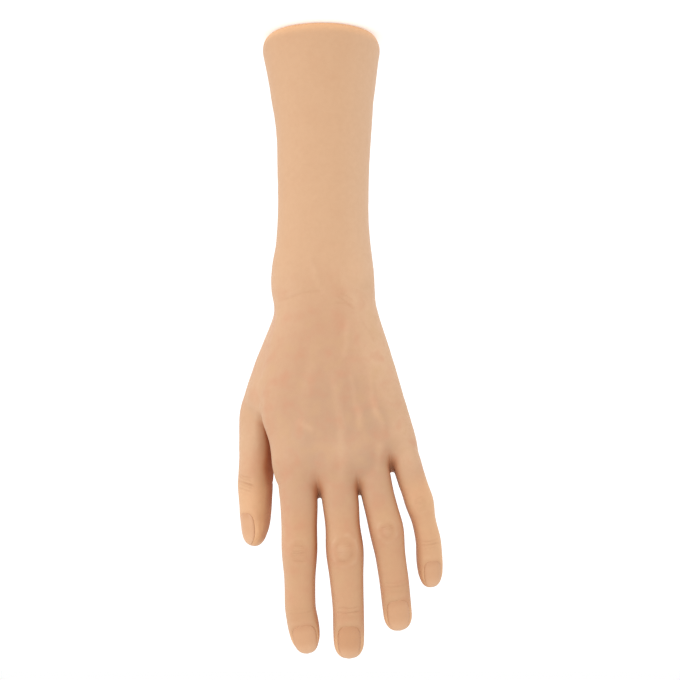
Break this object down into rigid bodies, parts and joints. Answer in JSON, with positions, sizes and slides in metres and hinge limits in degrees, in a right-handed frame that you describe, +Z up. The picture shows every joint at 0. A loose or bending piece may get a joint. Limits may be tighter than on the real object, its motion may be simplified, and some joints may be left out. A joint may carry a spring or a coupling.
{
  "type": "tattoo practice hand",
  "caption": "Life-size left hand and forearm in soft skin-coloured silicone with moulded nails, over a jointed armature that lets the wrist and fingers be posed.",
  "frame": {"origin": "centre of the flat end of the forearm, on which the hand stands", "axes": "+Z up the arm to the fingertips, -Y out of the back of the hand, +X to the thumb side"},
  "size_m": [0.1098, 0.0652, 0.3397],
  "materials": {
    "skin_silicone": "matt flesh-coloured silicone",
    "nail_silicone": "smooth satin silicone in the skin's colour",
    "moulded_nylon": "moulded, matt",
    "plated_steel": "bright zinc plated",
    "rigid_foam": "cast foam",
    "base_plastic": "moulded, matt"
  },
  "bodies": {
    "forearm": {"base_disc": "base_plastic", "forearm_core": "rigid_foam", "forearm_rod": "plated_steel", "forearm_skin": "skin_silicone", "rod_nut": "plated_steel", "rod_washer": "plated_steel", "wrist_pin": "plated_steel", "wrist_collar": "skin_silicone"},
    "palm": {"hand_frame": "moulded_nylon", "palm_skin": "skin_silicone", "index_root_collar": "skin_silicone", "middle_root_collar": "skin_silicone", "ring_root_collar": "skin_silicone", "little_root_collar": "skin_silicone", "thumb_root_collar": "skin_silicone"},
    "index_lower": {"index_lower_pad": "skin_silicone", "index_lower_link": "moulded_nylon", "index_knuckle_collar": "skin_silicone"},
    "index_middle": {"index_middle_pad": "skin_silicone", "index_middle_link": "moulded_nylon", "index_end_collar": "skin_silicone"},
    "index_tip": {"index_tip_pad": "skin_silicone", "index_tip_link": "moulded_nylon", "index_nail": "nail_silicone"},
    "middle_lower": {"middle_lower_pad": "skin_silicone", "middle_lower_link": "moulded_nylon", "middle_knuckle_collar": "skin_silicone"},
    "middle_middle": {"middle_middle_pad": "skin_silicone", "middle_middle_link": "moulded_nylon", "middle_end_collar": "skin_silicone"},
    "middle_tip": {"middle_tip_pad": "skin_silicone", "middle_tip_link": "moulded_nylon", "middle_nail": "nail_silicone"},
    "ring_lower": {"ring_lower_pad": "skin_silicone", "ring_lower_link": "moulded_nylon", "ring_knuckle_collar": "skin_silicone"},
    "ring_middle": {"ring_middle_pad": "skin_silicone", "ring_middle_link": "moulded_nylon", "ring_end_collar": "skin_silicone"},
    "ring_tip": {"ring_tip_pad": "skin_silicone", "ring_tip_link": "moulded_nylon", "ring_nail": "nail_silicone"},
    "little_lower": {"little_lower_pad": "skin_silicone", "little_lower_link": "moulded_nylon", "little_knuckle_collar": "skin_silicone"},
    "little_middle": {"little_middle_pad": "skin_silicone", "little_middle_link": "moulded_nylon", "little_end_collar": "skin_silicone"},
    "little_tip": {"little_tip_pad": "skin_silicone", "little_tip_link": "moulded_nylon", "little_nail": "nail_silicone"},
    "thumb_lower": {"thumb_lower_pad": "skin_silicone", "thumb_lower_link": "moulded_nylon", "thumb_knuckle_collar": "skin_silicone"},
    "thumb_tip": {"thumb_tip_pad": "skin_silicone", "thumb_tip_link": "moulded_nylon", "thumb_nail": "nail_silicone"}
  },
  "joints": [
    {"name": "wrist_bend", "type": "hinge", "parent": "forearm", "child": "palm", "pos_m": [0, 0, 0.151], "axis": [-1, 0, 0], "range_deg": [-30, 30], "deforming": ["wrist_collar"]},
    {"name": "index_root_bend", "type": "hinge", "parent": "palm", "child": "index_lower", "pos_m": [0.0121, 0.0006, 0.261], "axis": [-0.9997, 0, -0.0262], "range_deg": [0, 50], "deforming": ["index_root_collar"]},
    {"name": "index_knuckle_bend", "type": "hinge", "parent": "index_lower", "child": "index_middle", "pos_m": [0.01146, 0.00448, 0.28549], "axis": [-0.9996, -0.001, -0.0294], "range_deg": [0, 55], "deforming": ["index_knuckle_collar"]},
    {"name": "index_end_bend", "type": "hinge", "parent": "index_middle", "child": "index_tip", "pos_m": [0.01059, 0.01349, 0.31493], "axis": [-0.9929, -0.0402, -0.1118], "range_deg": [0, 35], "deforming": ["index_end_collar"]},
    {"name": "middle_root_bend", "type": "hinge", "parent": "palm", "child": "middle_lower", "pos_m": [-0.0103, 0.0002, 0.261], "axis": [-0.9962, 0, -0.0872], "range_deg": [0, 50], "deforming": ["middle_root_collar"]},
    {"name": "middle_knuckle_bend", "type": "hinge", "parent": "middle_lower", "child": "middle_middle", "pos_m": [-0.01238, 0.00399, 0.28481], "axis": [-0.998, 0.0082, -0.062], "range_deg": [0, 55], "deforming": ["middle_knuckle_collar"]},
    {"name": "middle_end_bend", "type": "hinge", "parent": "middle_middle", "child": "middle_tip", "pos_m": [-0.01414, 0.01363, 0.31443], "axis": [-0.9992, 0.0289, -0.0281], "range_deg": [0, 35], "deforming": ["middle_end_collar"]},
    {"name": "ring_root_bend", "type": "hinge", "parent": "palm", "child": "ring_lower", "pos_m": [-0.03, 0.0006, 0.256], "axis": [-0.9763, 0, -0.2164], "range_deg": [0, 50], "deforming": ["ring_root_collar"]},
    {"name": "ring_knuckle_bend", "type": "hinge", "parent": "ring_lower", "child": "ring_middle", "pos_m": [-0.03406, 0.00357, 0.27432], "axis": [-0.9885, 0.0221, -0.1497], "range_deg": [0, 55], "deforming": ["ring_knuckle_collar"]},
    {"name": "ring_end_bend", "type": "hinge", "parent": "ring_middle", "child": "ring_tip", "pos_m": [-0.03794, 0.01241, 0.30124], "axis": [-0.993, 0.056, -0.1038], "range_deg": [0, 35], "deforming": ["ring_end_collar"]},
    {"name": "little_root_bend", "type": "hinge", "parent": "palm", "child": "little_lower", "pos_m": [-0.048, 0.0016, 0.247], "axis": [-0.9563, 0, -0.2924], "range_deg": [0, 50], "deforming": ["little_root_collar"]},
    {"name": "little_knuckle_bend", "type": "hinge", "parent": "little_lower", "child": "little_middle", "pos_m": [-0.05192, 0.00396, 0.25981], "axis": [-0.9761, 0.0257, -0.216], "range_deg": [0, 55], "deforming": ["little_knuckle_collar"]},
    {"name": "little_end_bend", "type": "hinge", "parent": "little_middle", "child": "little_tip", "pos_m": [-0.05611, 0.01051, 0.27953], "axis": [-0.9891, 0.0825, -0.1217], "range_deg": [0, 35], "deforming": ["little_end_collar"]},
    {"name": "thumb_root_bend", "type": "hinge", "parent": "palm", "child": "thumb_lower", "pos_m": [0.0356, 0.024, 0.226], "axis": [-0.7553, -0.6338, 0.1668], "range_deg": [-25, 0], "deforming": ["thumb_root_collar"]},
    {"name": "thumb_knuckle_bend", "type": "hinge", "parent": "thumb_lower", "child": "thumb_tip", "pos_m": [0.0367, 0.0284, 0.2477], "axis": [-0.7569, -0.6414, 0.1253], "range_deg": [0, 30], "deforming": ["thumb_knuckle_collar"]}
  ]
}
